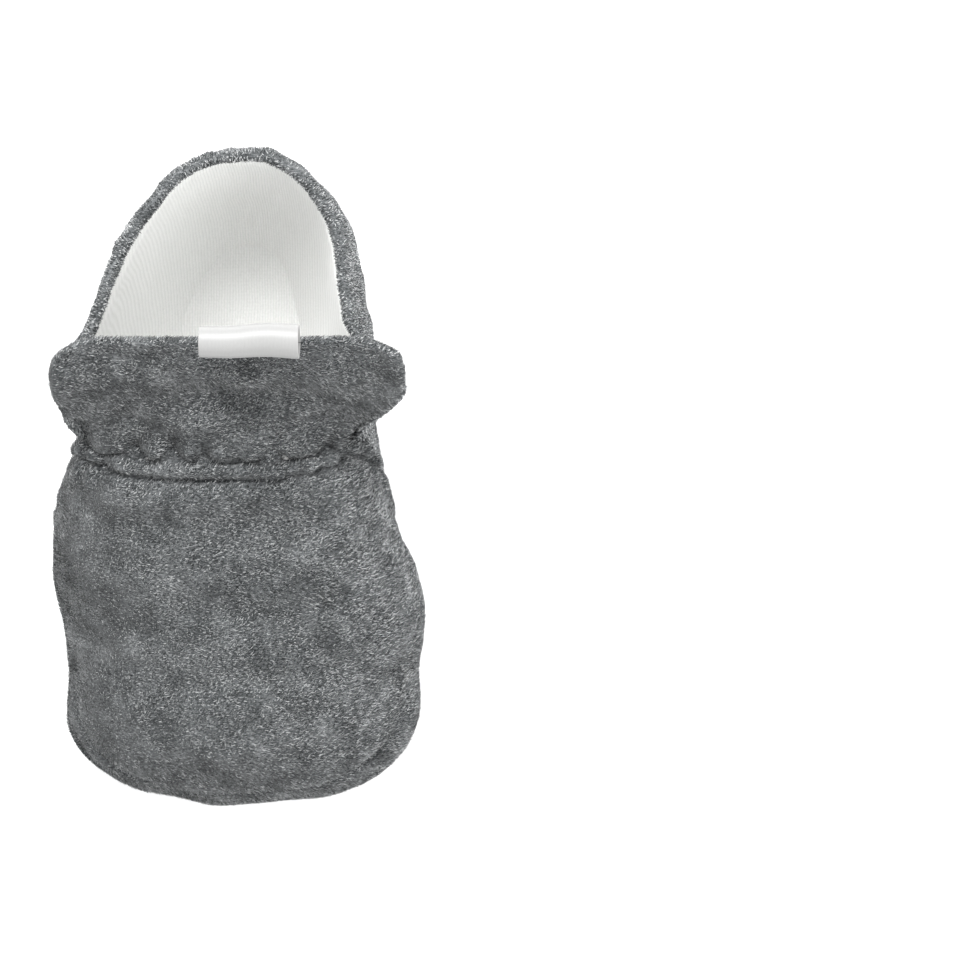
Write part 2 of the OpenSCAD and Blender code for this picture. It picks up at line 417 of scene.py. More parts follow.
# ---------------------------------------------------------------- fleece pile
# The brushed face of the fleece: short fine fibres in five greys, laid over mostly one
# way. They are grown on the outer side of each fleece panel and on its turned-in edges.
PILE_SHADES = (
    ("pile_charcoal", (0.014, 0.016, 0.017), 0.28),
    ("pile_slate", (0.058, 0.064, 0.066), 0.23),
    ("pile_grey", (0.155, 0.163, 0.167), 0.22),
    ("pile_light", (0.360, 0.372, 0.376), 0.17),
    ("pile_pale", (0.680, 0.692, 0.694), 0.10),
)
FIBRE_ARCH = ((0.0, 0.0, 0.50), (0.5, 0.28, 0.42), (1.0, 0.36, 0.0))
FIBRE_POINTS = 5
FIBRE_FACES = ((0, 2, 3, 1), (2, 4, 3))


def fibre_mesh():
    """One fibre of length 1 along +X: a strip that arches up and ends in a point."""
    points = [(x, side * w, z) for x, z, w in FIBRE_ARCH for side in (-1.0, 1.0)][:-1]
    mesh = bpy.data.meshes.new("fibre")
    mesh.from_pydata(points, [], FIBRE_FACES)
    return mesh


fibre = bpy.data.objects.new("fibre", fibre_mesh())


def group(name, sockets):
    """A new Geometry Nodes tree with named inputs, and a function that adds its nodes."""
    tree = bpy.data.node_groups.new(name, "GeometryNodeTree")
    tree.interface.new_socket("Geometry", in_out="INPUT", socket_type="NodeSocketGeometry")
    for title, kind in sockets:
        tree.interface.new_socket(title, in_out="INPUT", socket_type=kind)
    tree.interface.new_socket("Geometry", in_out="OUTPUT", socket_type="NodeSocketGeometry")

    def add(kind, settings=None, **inputs):
        made = tree.nodes.new(kind)
        for key, value in (settings or {}).items():
            setattr(made, key, value)
        for key, value in inputs.items():
            index = int(key[1:]) if key[0] == "i" and key[1:].isdigit() else key.replace("_", " ")
            if isinstance(value, bpy.types.NodeSocket):
                tree.links.new(value, made.inputs[index])
            else:
                made.inputs[index].default_value = value
        return made

    return tree, add


def grown(tree, source, values):
    """The plain mesh that a tree makes of a source object, with its named inputs set."""
    modifier = source.modifiers.new("grow", "NODES")
    modifier.node_group = tree
    for item in tree.interface.items_tree:
        if item.in_out == "INPUT" and item.name in values:
            modifier[item.identifier] = values[item.name]
    evaluated = source.evaluated_get(bpy.context.evaluated_depsgraph_get())
    mesh = bpy.data.meshes.new_from_object(evaluated)
    source.modifiers.remove(modifier)
    return mesh


pile_tree, add = group("fleece_pile", (
    ("Fibre", "NodeSocketObject"), ("Density", "NodeSocketFloat"),
    ("Length", "NodeSocketFloat"), ("Width", "NodeSocketFloat"),
    ("Comb", "NodeSocketVector"), ("Spread", "NodeSocketFloat"),
    ("Seed", "NodeSocketInt"), ("Material", "NodeSocketMaterial")))
given = add("NodeGroupInput").outputs
nap = add("GeometryNodeInputNamedAttribute", {"data_type": "FLOAT"}, Name="nap").outputs[0]
clump = add("ShaderNodeTexNoise", {"noise_dimensions": "4D"}, Scale=210.0, Detail=2.0,
            W=given["Seed"]).outputs[0]
patchy = add("ShaderNodeMapRange", i0=clump, i1=0.36, i2=0.64, i3=0.2, i4=1.85).outputs[0]
here = add("ShaderNodeMath", {"operation": "MULTIPLY"}, i0=nap, i1=patchy).outputs[0]
density = add("ShaderNodeMath", {"operation": "MULTIPLY"}, i0=here, i1=given["Density"]).outputs[0]
scatter = add("GeometryNodeDistributePointsOnFaces", Mesh=given["Geometry"], Density=density,
              Seed=given["Seed"])
combed = add("FunctionNodeAlignRotationToVector", {"axis": "X", "pivot_axis": "Z"},
             Rotation=scatter.outputs["Rotation"], Vector=given["Comb"]).outputs[0]
minus = add("ShaderNodeMath", {"operation": "MULTIPLY"}, i0=given["Spread"], i1=-1.0).outputs[0]
draws = []
for offset, low, high in ((1, minus, given["Spread"]), (2, -0.45, 0.15), (3, -0.6, 0.6),
                          (4, 0.55, 1.45)):
    seed = add("ShaderNodeMath", {"operation": "ADD"}, i0=given["Seed"], i1=offset).outputs[0]
    value = add("FunctionNodeRandomValue", {"data_type": "FLOAT"}, Seed=seed)
    for index, limit in ((2, low), (3, high)):
        if isinstance(limit, bpy.types.NodeSocket):
            pile_tree.links.new(limit, value.inputs[index])
        else:
            value.inputs[index].default_value = limit
    draws.append(value.outputs[1])
yaw, lean, roll, share = draws
angles = add("ShaderNodeCombineXYZ", X=roll, Y=lean, Z=yaw).outputs[0]
turn = add("FunctionNodeEulerToRotation", Euler=angles).outputs[0]
turned = add("FunctionNodeRotateRotation", {"rotation_space": "LOCAL"}, Rotation=combed,
             Rotate_By=turn).outputs[0]
reach = add("ShaderNodeMath", {"operation": "MULTIPLY"}, i0=share, i1=given["Length"]).outputs[0]
size = add("ShaderNodeCombineXYZ", X=reach, Y=given["Width"], Z=reach).outputs[0]
one = add("GeometryNodeObjectInfo", Object=given["Fibre"]).outputs["Geometry"]
fibres = add("GeometryNodeInstanceOnPoints", Points=scatter.outputs["Points"], Instance=one,
             Rotation=turned, Scale=size)
real = add("GeometryNodeRealizeInstances", Geometry=fibres.outputs[0])
shaded = add("GeometryNodeSetMaterial", Geometry=real.outputs[0], Material=given["Material"])
add("NodeGroupOutput", Geometry=shaded.outputs[0])

pile_materials = [
    Finish(name, Base_Color=(*colour, 1.0), Roughness=0.75, Sheen_Weight=0.15,
           Specular_IOR_Level=0.25).material
    for name, colour, _ in PILE_SHADES]


def add_pile(name, cloth, per_mm2, seed, comb=(0.85, 0.5, 0.0), spread_angle=0.75,
             length=0.60, width=0.11, keep=None):
    """Grows the pile of one fleece panel. keep picks faces by their centres, in mm. The
    fibres of all shades go into one mesh, which is built from their points."""
    source = bpy.data.objects.new("nap_source", cloth.data.copy())
    scene.collection.objects.link(source)
    if keep:
        centres = np.empty(len(source.data.polygons) * 3)
        source.data.polygons.foreach_get("center", centres)
        on = np.empty(len(source.data.polygons), np.float32)
        source.data.attributes["nap"].data.foreach_get("value", on)
        on *= keep(centres.reshape(-1, 3) / MM)
        source.data.attributes["nap"].data.foreach_set("value", on)
    points, faces, shades = [], [], []
    count = 0
    for k, (_, _, part) in enumerate(PILE_SHADES):
        made = grown(pile_tree, source, {
            "Fibre": fibre, "Density": per_mm2 * part / MM ** 2, "Length": length * MM,
            "Width": width * MM, "Comb": comb, "Spread": spread_angle,
            "Seed": seed * 17 + k * 5, "Material": pile_materials[k]})
        co = np.empty(len(made.vertices) * 3, np.float32)
        made.vertices.foreach_get("co", co)
        points.append(co.reshape(-1, 3))
        fibres_made = len(made.vertices) // FIBRE_POINTS
        faces.append(np.arange(fibres_made) * FIBRE_POINTS + count)
        shades.append(fibres_made)
        count += len(made.vertices)
        bpy.data.meshes.remove(made)
    bpy.data.objects.remove(source)
    strips = np.concatenate(faces)
    corners = np.concatenate(FIBRE_FACES)
    mesh = bpy.data.meshes.new(name)
    mesh.vertices.add(count)
    mesh.vertices.foreach_set("co", np.concatenate(points).ravel())
    mesh.loops.add(len(strips) * len(corners))
    mesh.loops.foreach_set("vertex_index", (strips[:, None] + corners).ravel())
    mesh.polygons.add(len(strips) * len(FIBRE_FACES))
    first = np.array([0, len(FIBRE_FACES[0])])
    starts = (np.arange(len(strips))[:, None] * len(corners) + first).ravel()
    mesh.polygons.foreach_set("loop_start", starts)
    mesh.polygons.foreach_set("material_index", np.repeat(
        np.arange(len(shades)), np.array(shades) * len(FIBRE_FACES)))
    for material in pile_materials:
        mesh.materials.append(material)
    mesh.update(calc_edges=True)
    pile = bpy.data.objects.new(name, mesh)
    scene.collection.objects.link(pile)
    return pile


def part_of(axis, start, end):
    """Picks the faces between two planes across an axis, so that a pile can be divided."""
    return lambda centres: (centres[:, axis] >= start) & (centres[:, axis] < end)


FAR = 99.0
VAMP_PARTS = (("vamp_pile_far_left", -FAR, -22.0), ("vamp_pile_left", -22.0, 0.0),
              ("vamp_pile_right", 0.0, 22.0), ("vamp_pile_far_right", 22.0, FAR))
for k, (name, start, end) in enumerate(VAMP_PARTS):
    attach(add_pile(name, vamp, per_mm2=19.0, seed=11 + k, keep=part_of(0, start, end)), "shoe")


# ---------------------------------------------------------------- collar flap
# Above the casing the vamp's fleece goes on as a flap. Its top edge is turned in over the
# lining, and its ends stand out past the ankle.
HINGE_Y, HINGE_Z = 8.4, 48.8
COLLAR_BACK, COLLAR_RISE, COLLAR_HALF = 17.0, 18.4, 31.8
COLLAR_FOOT_HALF = 26.0
FOOT_ROLL = 2.9


def collar_skin(u, v, o):
    """u runs across the flap, v from the fold line to the top edge. At its foot the cloth
    rolls forward over the casing."""
    side = np.abs(u) ** 2.6
    up = np.clip(v, 0.0, 1.0)
    drop = 6.4 * np.clip(1.0 - v, 0.0, 2.0) ** 1.5 * side + 1.2 * up * side
    corner = 1.0 - np.sqrt(1.0 - np.clip((up - 0.74) / 0.26, 0.0, 1.0) ** 2)
    flare = np.sin(0.5 * math.pi * np.minimum(1.0, up / 0.8))
    x = u * (COLLAR_FOOT_HALF + (COLLAR_HALF - COLLAR_FOOT_HALF) * flare
             - (2.9 - 1.1 * u) * corner * np.abs(u) ** 5) + 1.2 * np.sin(math.pi * up)
    bend = 0.16 * np.sin(math.pi * up)
    y = HINGE_Y - 0.6 + COLLAR_BACK * (v - bend) + 3.0 * side * (1.0 - up) - 0.4 * side * up
    z = HINGE_Z + 1.2 + COLLAR_RISE * (v + 0.7 * bend) - drop
    y = y - 1.0 * corner * np.clip((np.abs(u) - 0.78) / 0.22, 0.0, 1.0) ** 2
    sag = 3.2 * np.sin(math.pi * up) * (1.0 - side)
    curl = 1.7 * smooth((np.abs(u) - 0.66) / 0.34) ** 2 * smooth((up - 0.1) / 0.4)
    depth = o + sag - curl
    roll = (FOOT_ROLL * np.exp(-((v + 0.02) / 0.11) ** 2) * (1.0 - smooth(o / 2.4))
            * (1.0 - 0.7 * smooth((np.abs(u) - 0.85) / 0.15)))
    x = x - ankle_lean(y, z) * (1.0 - up)
    return np.stack([x, y + 0.67 * depth - roll, z - 0.74 * depth + 0.25 * roll], -1)


def collar_relief(u, v, points):
    """Soft folds where the flap sags over the elastic, and gathers along its foot."""
    def dent(u0, v0, width, height, turn=0.0):
        a = (u - u0) * math.cos(turn) + (v - v0) * math.sin(turn) * 0.9
        b = (v - v0) * math.cos(turn) - (u - u0) * math.sin(turn)
        return np.exp(-(a / width) ** 2 - (b / height) ** 2)

    relief = -3.2 * dent(0.10, 0.42, 0.46, 0.14) - 1.6 * dent(-0.52, 0.16, 0.24, 0.11, -0.7)
    relief += 1.0 * dent(0.0, 0.66, 0.6, 0.12) + 1.1 * dent(-0.18, 0.17, 0.2, 0.08)
    relief -= 1.5 * dent(0.62, 0.16, 0.18, 0.12, 0.8)
    relief += 1.1 * (gathers(u, 4, 6.0) - 0.35) * np.exp(-np.clip(v, 0.0, 1.0) / 0.10)
    return relief + 0.35 * waves(points, 11.0, 8)


collar_mesh = cloth_mesh(
    "collar", collar_skin, spread(-1.0, 1.0, 150, 0.02), spread(-0.14, 1.0, 64, 0.05),
    PILE_DEPTH, FLEECE + 0.3, collar_relief,
    turned=lambda u, v: np.maximum(smooth((v - 0.945) / 0.02),
                                   smooth((np.abs(u) - 0.88) / 0.03)))
collar = add_piece("collar_fleece", collar_mesh, fleece_finish, "collar_outer", None)
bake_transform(collar)
collar_pile = add_pile("collar_pile", collar, per_mm2=21.0, seed=21, length=0.56)
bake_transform(collar_pile)


# ---------------------------------------------------------------- heel piece
# The back panel, from side seam to side seam round the heel. An elastic under its rim
# gathers the edge into small uneven bumps, and beside the collar the rim flares out.
STRAIGHT_Y, ROUND_SHARE, WING_FLARE, RIM_Z = 12.0, 0.68, 4.6, 51.0
WING = 4.5
HEEL_CASING = 0.77


def heel_skin(s, h, o):
    """s runs round the heel from the right side seam to the left, h from sole to rim."""
    side = np.clip((np.abs(s) - ROUND_SHARE) / (1.0 - ROUND_SHARE), 0.0, 1.0)
    a = 0.5 * math.pi * np.minimum(1.0, np.abs(s) / ROUND_SHARE)
    rim = RIM_Z - 7.0 * smooth((np.abs(s) - 0.52) / 0.48) - 1.2 * (1.0 - smooth(np.abs(s) / 0.3))
    z = BASE_Z + h * (rim - BASE_Z)
    y0 = SEAM_FOOT_Y - SEAM_LAP + seam_swing(np.minimum(1.0, (z - BASE_Z) / RISE))
    back = HEEL_Y - STRAIGHT_Y - 3.4 * tuck(z) - o
    y = STRAIGHT_Y + back * np.cos(a) ** 0.87 - (STRAIGHT_Y - y0) * side
    flare = (WING_FLARE * (1.0 - 0.35 * np.sign(s)) * np.clip(h, 0.0, 1.0) ** 3
             * smooth((31.0 - y) / 13.0) * smooth((y - 6.0) / 14.0))
    flare = flare + np.clip(h, 0.0, 1.0) ** 3 * (
        WING * (s < 0.0) * np.exp(-((y - 15.5) / 6.0) ** 2) - 2.6 * (s > 0.0) * side)
    half = (body_half(y, 0.0) - 1.2 * h + 0.8 * np.sin(math.pi * np.clip(h, 0.0, 1.0)) + flare
            - o - 0.9 * smooth((y - 22.0) / 20.0) * smooth(h / 0.4))
    x = -np.sign(s) * half * np.sin(a) ** 0.87 * narrow(y, z)
    return np.stack([x - ankle_lean(y, z), y * (1.0 - TUCK_Y * tuck(z)), z], -1)


def heel_relief(s, h, points):
    """Gathers at the rim and over the elastic, a stitch groove, puckers at the sole."""
    fold = gathers(s, 9, 26.0)
    rim = smooth((h - 0.72) / 0.2)
    relief = (0.16 * (fold - 0.5) + 0.16 * waves(points, 2.6, 14)) * rim
    relief -= 0.9 * np.exp(-((h - HEEL_CASING) / 0.014) ** 2)
    relief += (0.5 * (fold - 0.5) * np.exp(-np.clip(HEEL_CASING - h, 0.0, 1.0) / 0.12)
               * smooth((0.92 - h) / 0.12))
    relief -= 1.2 * smooth((np.abs(s) - 0.945) / 0.03)
    relief += 0.35 * np.exp(-h / 0.07) * np.sin(s * 70.0 + 2.0 * np.sin(7.0 * s))
    return relief + 0.5 * waves(points, 18.0, 12) + 0.2 * waves(points, 7.0, 13)


heel_mesh = cloth_mesh(
    "heel", heel_skin, spread(-1.0, 1.0, 230, 0.012), spread(0.0, 1.0, 84, 0.03),
    PILE_DEPTH, FLEECE + 0.3, heel_relief,
    turned=lambda s, h: smooth((h - 0.957) / 0.012))
heel = add_piece("heel_fleece", heel_mesh, fleece_finish, "heel_outer", "shoe")
for k, (name, start, end) in enumerate((("heel_pile_left", -FAR, 0.0),
                                        ("heel_pile_right", 0.0, FAR))):
    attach(add_pile(name, heel, per_mm2=16.4, seed=31 + k, comb=(0.0, 0.0, -1.0), length=0.5,
                     keep=part_of(0, start, end)), "shoe")


# ---------------------------------------------------------------- outsole
# The sole is fleece too, pile outwards, cut smaller than the foot so that the walls bulge
# out over its seam. Its edge rolls up into the seam all round.
SOLE_AROUND = 320
OUTSOLE_TOP, SOLE_PILE = 2.7, 0.4


def sole_outline(o, count_toe=60, count_heel=90):
    """The foot of the vamp and the heel piece as one even ring, o inside their skins."""
    left = vamp_skin(np.full(count_toe, -1.0), np.linspace(VAMP_START, 1.0, count_toe), o)
    s = np.linspace(0.95, -0.95, count_heel)
    back = heel_skin(s, np.zeros(count_heel), o)
    right = vamp_skin(np.full(count_toe, 1.0), np.linspace(1.0, VAMP_START, count_toe), o)
    ring = np.concatenate([left, back, right])[:, :2]
    step = np.linalg.norm(np.diff(np.vstack([ring, ring[:1]]), axis=0), axis=1)
    along = np.concatenate([[0.0], np.cumsum(step)])
    even = np.linspace(0.0, along[-1], SOLE_AROUND, endpoint=False)
    closed = np.vstack([ring, ring[:1]])
    return np.stack([np.interp(even, along, closed[:, k]) for k in (0, 1)], -1)


def sole_layer(name, rings, nap_rings):
    """A flat layer as rings from the middle of its top, round its edge, to the middle of
    its underside. Each ring is (share of the outline, height, depth inside the outline)."""
    outlines, middle = [], np.array([0.0, -1.5])
    for share, height, inset in rings:
        outline = sole_outline(inset)
        ring = middle + (outline - middle) * share
        z = height(ring) if callable(height) else np.full(len(ring), height)
        outlines.append(np.column_stack([ring, z]))
    points = np.concatenate(outlines) * MM
    n = SOLE_AROUND
    faces, nap_faces = [], []
    for k in range(len(rings) - 1):
        for i in range(n):
            j = (i + 1) % n
            faces.append((k * n + i, k * n + j, (k + 1) * n + j, (k + 1) * n + i))
            nap_faces.append(1.0 if k >= nap_rings else 0.0)
    faces.append(tuple(range(n))[::-1])
    last = (len(rings) - 1) * n
    faces.append(tuple(range(last, last + n)))
    nap_faces += [0.0, 1.0]
    mesh = bpy.data.meshes.new(name)
    mesh.from_pydata(points.tolist(), [], faces)
    mesh.attributes.new("nap", "FLOAT", "FACE").data.foreach_set("value", nap_faces)
    mesh.shade_smooth()
    return mesh


HALF_THICK = (OUTSOLE_TOP - SOLE_PILE) / 2.0
edge = [(1.0, OUTSOLE_TOP - HALF_THICK * (1.0 - math.cos(a)), 1.6 - 1.2 * math.sin(a))
        for a in np.linspace(0.0, math.pi, 11)]
outsole_rings = ([(share, OUTSOLE_TOP, 1.0) for share in (0.1, 0.5, 0.9)] + edge
                 + [(share, SOLE_PILE, 1.0) for share in (0.95, 0.85, 0.7, 0.5, 0.3, 0.12)])
outsole = add_piece("outsole_fleece", sole_layer("outsole", outsole_rings, 3), fleece_finish,
                    "outsole", "shoe")
for k, (name, start, end) in enumerate((("sole_pile_toe", -FAR, -8.0),
                                        ("sole_pile_heel", -8.0, FAR))):
    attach(add_pile(name, outsole, per_mm2=14.0, seed=41 + k, comb=(0.0, -1.0, 0.0), length=0.42,
                     keep=part_of(1, start, end)), "shoe")


# ---------------------------------------------------------------- wadding and insole
# A thin pad of wadding lies on the outsole. White jersey covers it, dished at the heel.
wadding_finish = Finish("white_wadding", Roughness=1.0, Sheen_Weight=0.2)
tufts = wadding_finish.noise(wadding_finish.place(), 900.0, 4.0)
wadding_finish.feed(
    Base_Color=wadding_finish.between(tufts, (0.70, 0.70, 0.69), (0.88, 0.88, 0.87)),
    Normal=wadding_finish.bump(tufts, 0.5, 0.0008))

PAD_LOW, PAD_HIGH = 2.75, 6.0


def pad_height(ring):
    return PAD_HIGH - 0.5 + 0.5 * waves(np.column_stack([ring, ring[:, :1] * 0]), 22.0, 51)


pad_rings = ([(share, pad_height, 5.5) for share in (0.1, 0.4, 0.7, 0.9, 0.97)]
             + [(1.0, PAD_HIGH - 1.2, 5.2), (1.0, (PAD_HIGH + PAD_LOW) / 2.0, 5.0),
                (1.0, PAD_LOW + 0.5, 5.2)]
             + [(share, PAD_LOW, 5.5) for share in (0.97, 0.6, 0.1)])
pad = add_piece("sole_pad", sole_layer("pad", pad_rings, 99), wadding_finish,
                "sole_wadding", "shoe")

# The jersey glows faintly. This is painted light that brightens the shaded inside of the bootie.
jersey_finish = Finish("white_jersey", Roughness=0.85, Sheen_Weight=0.1,
                       Emission_Color=(1.0, 1.0, 0.99, 1.0), Emission_Strength=0.04)
WALE = 0.00052
where = jersey_finish.place()
across = jersey_finish.axis(where, "X") + jersey_finish.noise(where, 60.0, 2.0) * 0.0012
along = jersey_finish.axis(where, "Y") + jersey_finish.axis(where, "Z") * 0.7
wales = (across * (2.0 * math.pi / WALE)).math("SINE") * 0.5 + 0.5
courses = (along * (2.0 * math.pi / (WALE * 1.3))).math("SINE") * 0.5 + 0.5
knit = wales * 0.7 + wales * courses * 0.3
mottle = jersey_finish.noise(where, 2600.0, 2.0)
jersey_finish.feed(
    Base_Color=jersey_finish.between(knit * 0.5 + (mottle - 0.25) * 0.9,
                                     (0.80, 0.805, 0.79), (0.99, 0.99, 0.98)),
    Normal=jersey_finish.bump(knit + mottle * 0.3, 0.35, 0.00025))

INSOLE_HIGH, INSOLE_THICK = 7.0, 0.8


def insole_top(ring):
    """The insole is dished under the heel and rises at its edge."""
    edge = smooth((np.abs(ring[:, 0]) - 8.0) / 16.0)
    heel_end = smooth((ring[:, 1] - 34.0) / 18.0)
    points = np.column_stack([ring, ring[:, :1] * 0])
    return INSOLE_HIGH + 1.6 * np.maximum(edge, heel_end) + 0.5 * waves(points, 16.0, 53)


def insole_under(ring):
    return insole_top(ring) - INSOLE_THICK


insole_rings = ([(share, insole_top, 4.6)
                 for share in (0.03, 0.15, 0.3, 0.45, 0.6, 0.75, 0.88, 0.97)]
                + [(1.0, insole_top, 4.3)]
                + [(share, insole_under, 4.6) for share in (0.97, 0.75, 0.45, 0.03)])
add_piece("insole_jersey", sole_layer("insole", insole_rings, 99), jersey_finish,
          "insole_lining", "shoe")


# ---------------------------------------------------------------- linings
# The same jersey lines the vamp, the collar and the heel. At the heel it hangs a little
# loose, so that it rounds over into the insole like a bowl.
LINING_TOP = FLEECE + AIR
CHANNEL = 1.2


def casing_gap(v):
    return CHANNEL * smooth((v - CASING_LOW + 0.03) / 0.03) * smooth((1.015 - v) / 0.03)


vamp_lining_mesh = cloth_mesh(
    "vamp_lining", vamp_skin, spread(-0.98, 0.98, 90, 0.01), spread(0.045, 0.995, 70, 0.01),
    lambda u, v: LINING_TOP + casing_gap(v), lambda u, v: LINING_TOP + LINING + casing_gap(v),
    lambda u, v, p: 0.3 * waves(p, 12.0, 61) - 0.3)
add_piece("vamp_jersey", vamp_lining_mesh, jersey_finish, "vamp_lining", "shoe")


def hem(u, v):
    """Near its edge the collar's lining dips into the turned-in fleece."""
    return np.maximum(smooth((v - 0.87) / 0.07), smooth((np.abs(u) - 0.80) / 0.07))


collar_lining_mesh = cloth_mesh(
    "collar_lining", collar_skin, spread(-0.88, 0.88, 90, 0.02), spread(-0.12, 0.955, 44, 0.03),
    lambda u, v: FLEECE + 0.35 - 1.3 * hem(u, v), lambda u, v: FLEECE + 1.05 - 1.3 * hem(u, v),
    lambda u, v, p: collar_relief(u, v, p) - 0.15 + 0.25 * waves(p, 9.0, 62))
collar_lining = add_piece("collar_jersey", collar_lining_mesh, jersey_finish, "collar_lining",
                          None)
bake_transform(collar_lining)


def bowl(h):
    """How far the loose lining stands in from the fleece, deepest at the foot."""
    down = np.clip(0.97 - h, 0.0, 0.97)
    dip = 1.3 * smooth((h - 0.905) / 0.05)
    return LINING_TOP - dip + 4.0 * down ** 1.2 + 14.0 * (1.0 - np.sqrt(1.0 - down ** 2))


def heel_lining_relief(s, h, points):
    ribs = gathers(s, 9, 26.0)
    return (0.22 * (ribs - 0.5) * smooth((h - 0.55) / 0.3)
            + 0.5 * waves(points, 15.0, 63) * smooth((0.95 - h) / 0.2))


heel_lining_mesh = cloth_mesh(
    "heel_lining", heel_skin, spread(-0.93, 0.93, 190, 0.01), spread(0.05, 0.972, 90, 0.02),
    lambda s, h: bowl(h), lambda s, h: bowl(h) + LINING, heel_lining_relief)
add_piece("heel_jersey", heel_lining_mesh, jersey_finish, "heel_lining", "shoe")


# ---------------------------------------------------------------- elastics
# Woven elastic runs through both casings and is sewn down at the side seams.
elastic_finish = Finish("woven_elastic", Roughness=0.7)
picks = elastic_finish.axis(elastic_finish.place(), "Z")
rubber = (picks * 9000.0).math("SINE") * 0.5 + 0.5
elastic_finish.feed(
    Base_Color=elastic_finish.between(rubber, (0.62, 0.62, 0.61), (0.85, 0.85, 0.84)),
    Normal=elastic_finish.bump(rubber, 0.4, 0.0002))

ELASTIC = 0.8
front_elastic_mesh = cloth_mesh(
    "front_elastic", vamp_skin, spread(-0.55, 0.55, 120, 0.01), spread(0.936, 0.981, 12, 0.1),
    LINING_TOP + 0.1, LINING_TOP + 0.1 + ELASTIC,
    lambda u, v, p: 0.12 * np.sin(u * 260.0))
add_piece("front_elastic_band", front_elastic_mesh, elastic_finish, "front_elastic",
          "shoe")
heel_elastic_mesh = cloth_mesh(
    "heel_elastic", heel_skin, spread(-0.68, 0.68, 200, 0.01), spread(0.81, 0.905, 12, 0.1),
    FLEECE + 0.35, FLEECE + 0.35 + ELASTIC * 0.7,
    lambda s, h, p: 0.1 * np.sin(s * 420.0))
add_piece("heel_elastic_band", heel_elastic_mesh, elastic_finish, "heel_elastic",
          "shoe")


# ---------------------------------------------------------------- ribbon label
# A loop of white satin ribbon, its two ends caught in the collar's top seam. It is blank.
satin_finish = Finish("white_satin", Roughness=0.36, Sheen_Weight=0.15, Specular_IOR_Level=0.45)
floats = satin_finish.axis(satin_finish.place(), "X")
warp = (floats * 26000.0).math("SINE") * 0.5 + 0.5
slub = satin_finish.noise(satin_finish.place((3.0, 1.0, 1.0)), 1600.0, 2.0)
satin_finish.feed(
    Base_Color=satin_finish.between(warp * 0.4 + slub * 0.6, (0.32, 0.32, 0.317),
                                    (0.40, 0.40, 0.396)),
    Normal=satin_finish.bump(warp + slub, 0.12, 0.0001))

LABEL_X, LABEL_HALF, LABEL_HEIGHT, LABEL_BELLY, RIBBON = 4.7, 8.8, 8.2, 3.7, 0.34
label_low, label_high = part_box("label")
label_foot_y = (label_low[1] + label_high[1]) / 2.0 / MM
label_foot_z = label_low[2] / MM


def label_profile(t, depth):
    """The loop seen from its end: t runs from one end of the ribbon to the other."""
    turn = 2.0 * math.pi * t
    belly = (LABEL_BELLY - depth) * np.sin(turn) * np.sin(turn / 2.0) ** 0.9
    rise = (LABEL_HEIGHT - 2.0 * depth) / 2.0 * (1.0 - np.cos(turn)) + depth
    return -belly, rise


def label_skin(u, t, o):
    """u runs across the ribbon, t round the loop, o towards the inside of the loop."""
    belly, rise = label_profile(t, o)
    wave = 0.25 * np.sin(2.2 * u + 0.6) + 0.12 * np.sin(5.0 * u)
    x = LABEL_X + LABEL_HALF * u
    y = label_foot_y - 0.5 + belly * (1.0 + 0.06 * u) + wave * rise / LABEL_HEIGHT
    return np.stack([x, y, label_foot_z + rise * (1.0 + 0.02 * u) - 1.2], -1)


label_mesh = cloth_mesh("label", label_skin, spread(-1.0, 1.0, 60, 0.01),
                        spread(0.02, 0.98, 90, 0.004), 0.0, RIBBON)
add_piece("ribbon_label", label_mesh, satin_finish, "label", "label_loop")


# ---------------------------------------------------------------- stitching
# Spun polyester thread, a shade darker than the fleece. Each row follows the cloth and
# sinks into its groove, so that only the backs of the stitches show between the fibres.
thread_finish = Finish("grey_thread", Roughness=0.6, Sheen_Weight=0.2)
ply = thread_finish.noise(thread_finish.place(), 6000.0, 2.0)
thread_finish.feed(
    Base_Color=thread_finish.between(ply, (0.055, 0.058, 0.060), (0.16, 0.165, 0.17)),
    Normal=thread_finish.bump(ply, 0.4, 0.0001))

STITCH_SIDES, STITCH_RINGS = 6, 6


def stitch_mesh():
    """One stitch of length 1 along +X, fat in the middle and dipping at both ends."""
    points, faces = [], []
    for k in range(STITCH_RINGS):
        t = k / (STITCH_RINGS - 1)
        r = 0.5 * math.sin(math.pi * (0.12 + 0.76 * t)) ** 0.5
        dip = -0.9 * (2.0 * t - 1.0) ** 4
        for i in range(STITCH_SIDES):
            a = 2.0 * math.pi * i / STITCH_SIDES
            points.append((t - 0.5, r * math.cos(a), r * math.sin(a) + dip))
    for k in range(STITCH_RINGS - 1):
        for i in range(STITCH_SIDES):
            j = (i + 1) % STITCH_SIDES
            a, b = k * STITCH_SIDES, (k + 1) * STITCH_SIDES
            faces.append((a + i, a + j, b + j, b + i))
    faces.append(tuple(range(STITCH_SIDES))[::-1])
    last = (STITCH_RINGS - 1) * STITCH_SIDES
    faces.append(tuple(range(last, last + STITCH_SIDES)))
    mesh = bpy.data.meshes.new("stitch")
    mesh.from_pydata(points, [], faces)
    return mesh


